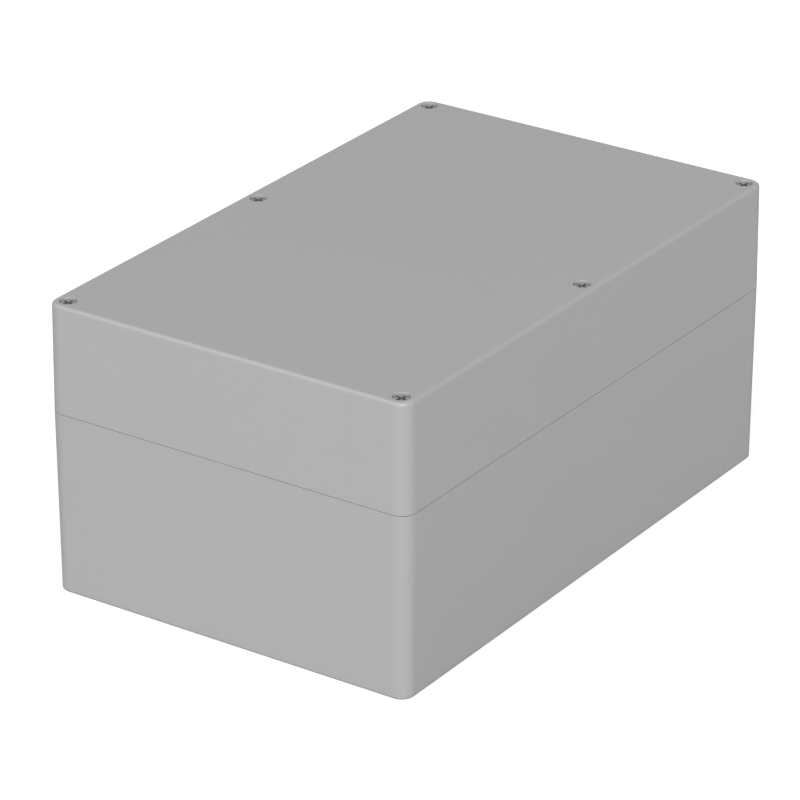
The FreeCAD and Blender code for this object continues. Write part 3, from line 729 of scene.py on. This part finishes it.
def add_mark(name, rows, body, place, side):
    """A mark that stands up from the floor (side 1) or down from the ceiling (side -1)."""
    mesh = turned_mesh(name, [(side * height, radius) for height, radius in rows], MARK_AROUND)
    add_piece(name, mesh, grey_plastic, body, place)


marks = 0
for body, level, side in (("base", floor_height, 1), ("lid", ceiling_height, -1)):
    add_mark(body + "_gate_stump", gate_rows, body, (0.0, 0.0, level), side)
    for x in MARK_PLACES_X:
        for y in MARK_PLACES_Y:
            marks += 1
            add_mark("%s_pin_mark_%d" % (body, marks), mark_rows, body, (x, y, level), side)
print("pin marks:", marks, "on floor and ceiling")

# %% [markdown]
# The picture shows the box alone on plain white, evenly lit, with the short end a little brighter than
# the top and the long side a little darker. White paper that is bright enough to look pure white would
# also throw too much light up at the walls and drown those three tones. So the paper and the surround
# are a soft grey for the light that they pass on, and a Light Path node makes them white for the eye.
#
# A whole sheet of paper would hide the underside from a camera below it and keep all light off it. The
# sheet is therefore a wide frame with a hole, and its back is see-through. The hole is as large as the
# flat of the underside: the paper reaches in under the rounded foot, so no light leaks up beside it.
#
# In the picture the rounded foot is a thin dark line, while the wall above it stays even. So only a
# narrow strip of paper beside the foot is dark for the light that it passes on, as a wider one would dim
# the whole wall. A wider one was tried, and it dimmed the whole wall. To the eye the strip is as white
# as the rest.

# %% Floor and surround
FLOOR_REACH = 48
FLOOR_TUCK = 1.3 * MM
FLOOR_CORNER = 4.7 * MM
STRIP_WIDTH = 1.2 * MM
STRIP_GREY = 0.02
PAPER_GREY = 0.58
PAPER_LIFT = 0.60
SURROUND_LIGHT = 0.40


def floor_frame():
    """Two rings of faces from the flat of the underside outwards: the strip, then the paper to far away."""
    middle_x = base_high.x - FLOOR_TUCK - FLOOR_CORNER
    middle_y = base_high.y - FLOOR_TUCK - FLOOR_CORNER
    hole, strip_edge = [], []
    for quarter, (side_x, side_y) in enumerate(((1, 1), (-1, 1), (-1, -1), (1, -1))):
        start = quarter * math.pi / 2
        for points, radius in ((hole, FLOOR_CORNER), (strip_edge, FLOOR_CORNER + STRIP_WIDTH)):
            points += arc(side_x * middle_x, side_y * middle_y, radius, start, start + math.pi / 2)
    far_edge = [(x * FLOOR_REACH, y * FLOOR_REACH) for x, y in strip_edge]
    count = len(hole)
    corners = [(x, y, 0.0) for x, y in hole + strip_edge + far_edge]
    faces = []
    for first in (0, count):
        for step in range(count):
            after = (step + 1) % count
            faces.append((first + step, first + step + count, first + after + count, first + after))
    mesh = bpy.data.meshes.new("floor")
    mesh.from_pydata(corners, [], faces)
    for face in mesh.polygons[:count]:
        face.material_index = 1
    return mesh


def studio_paper(name, passed_on):
    """Paper that is white for the eye, and as grey as the given value for the light that it passes on."""
    material = bpy.data.materials.new(name)
    material.use_nodes = True
    tree = material.node_tree
    shader = tree.nodes["Principled BSDF"]
    shader.inputs["Roughness"].default_value = 0.9
    shader.inputs["Specular IOR Level"].default_value = 0.0
    shader.inputs["Emission Color"].default_value = (1.0, 1.0, 1.0, 1.0)
    eye = tree.nodes.new("ShaderNodeLightPath").outputs["Is Camera Ray"]
    tone = tree.nodes.new("ShaderNodeMix")
    tone.data_type = "RGBA"
    tone.inputs["A"].default_value = (passed_on, passed_on, passed_on, 1.0)
    tone.inputs["B"].default_value = (PAPER_GREY, PAPER_GREY, PAPER_GREY, 1.0)
    tree.links.new(eye, tone.inputs["Factor"])
    tree.links.new(tone.outputs["Result"], shader.inputs["Base Color"])
    tree.links.new(add_math(tree, "MULTIPLY", eye, PAPER_LIFT), shader.inputs["Emission Strength"])
    back_side = tree.nodes.new("ShaderNodeNewGeometry").outputs["Backfacing"]
    seen_from_below = add_math(tree, "MULTIPLY", back_side, eye)
    tree.links.new(add_math(tree, "SUBTRACT", 1.0, seen_from_below), shader.inputs["Alpha"])
    return material


floor_mesh = floor_frame()
floor_mesh.materials.append(studio_paper("White studio paper", PAPER_GREY))
floor_mesh.materials.append(studio_paper("Paper beside the foot", STRIP_GREY))
floor = add_object("studio_floor", floor_mesh)
floor.location.z = base_low.z

surround = bpy.data.worlds.new("Pale surround")
bpy.context.scene.world = surround
surround.use_nodes = True
surround_eye = surround.node_tree.nodes.new("ShaderNodeLightPath")
surround_strength = add_math(surround.node_tree, "MULTIPLY_ADD", surround_eye.outputs["Is Camera Ray"],
                             1.0 - SURROUND_LIGHT, SURROUND_LIGHT)
surround_shader = surround.node_tree.nodes["Background"]
surround_shader.inputs["Color"].default_value = (1.0, 1.0, 1.0, 1.0)
surround.node_tree.links.new(surround_strength, surround_shader.inputs["Strength"])
bpy.context.scene.view_settings.view_transform = "Standard"
print("floor at", floor.location.z, "metres, faces up:", floor_mesh.polygons[0].normal.z > 0)

# %% [markdown]
# Two lamps shape the box. A large soft light stands to the front left, further round than the front
# corner, so that the rounded corner is the brightest upright part. A smaller one high behind draws the
# bright line along the rounded edge of the short end. Both are far away, which keeps each face even.

# %% Two soft lights
box_middle = Vector((0.0, 0.0, lid_high.z / 2))


def add_soft_light(name, direction, distance, size, power):
    """A square area light that looks at the middle of the box."""
    data = bpy.data.lights.new(name, "AREA")
    data.shape = "SQUARE"
    data.size = size
    data.energy = power
    lamp = add_object(name, data)
    towards = Vector(direction).normalized()
    lamp.location = box_middle + towards * distance
    lamp.rotation_euler = (-towards).to_track_quat("-Z", "Y").to_euler()
    return lamp


key = add_soft_light("key light", direction=(-0.80, -0.60, 0.676), distance=10.0, size=4.8, power=864.0)
edge = add_soft_light("edge light", direction=(-0.42, 0.51, 0.75), distance=6.0, size=2.0, power=56.0)
print("lights:", key.data.energy, "and", edge.data.energy, "watts")

# %% [markdown]
# A long lens from well away keeps the upright edges nearly parallel. The angles and the distance were
# measured from the edges of the box in the picture, and the aim is a little left of and below its
# middle.

# %% The camera
CAMERA_AZIMUTH = math.radians(-55.820)
CAMERA_ELEVATION = math.radians(25.047)
CAMERA_DISTANCE = 1703.96 * MM
AIM_RIGHT = -6.222 * MM
AIM_UP = -7.067 * MM
PICTURE_WIDTH = 800
FOCAL_PIXELS = 4446.11

back = Vector((math.sin(CAMERA_AZIMUTH) * math.cos(CAMERA_ELEVATION),
               -math.cos(CAMERA_AZIMUTH) * math.cos(CAMERA_ELEVATION),
               math.sin(CAMERA_ELEVATION)))
right = Vector((math.cos(CAMERA_AZIMUTH), math.sin(CAMERA_AZIMUTH), 0.0))
up = back.cross(right)
camera_data = bpy.data.cameras.new("camera")
camera_data.lens = FOCAL_PIXELS / PICTURE_WIDTH * camera_data.sensor_width
camera = add_object("camera", camera_data)
camera.location = box_middle + right * AIM_RIGHT + up * AIM_UP + back * CAMERA_DISTANCE
camera.rotation_euler = (-back).to_track_quat("-Z", "Y").to_euler()
bpy.context.scene.camera = camera
print("lens:", round(camera_data.lens, 1), "mm; camera at", [round(value, 3) for value in camera.location])
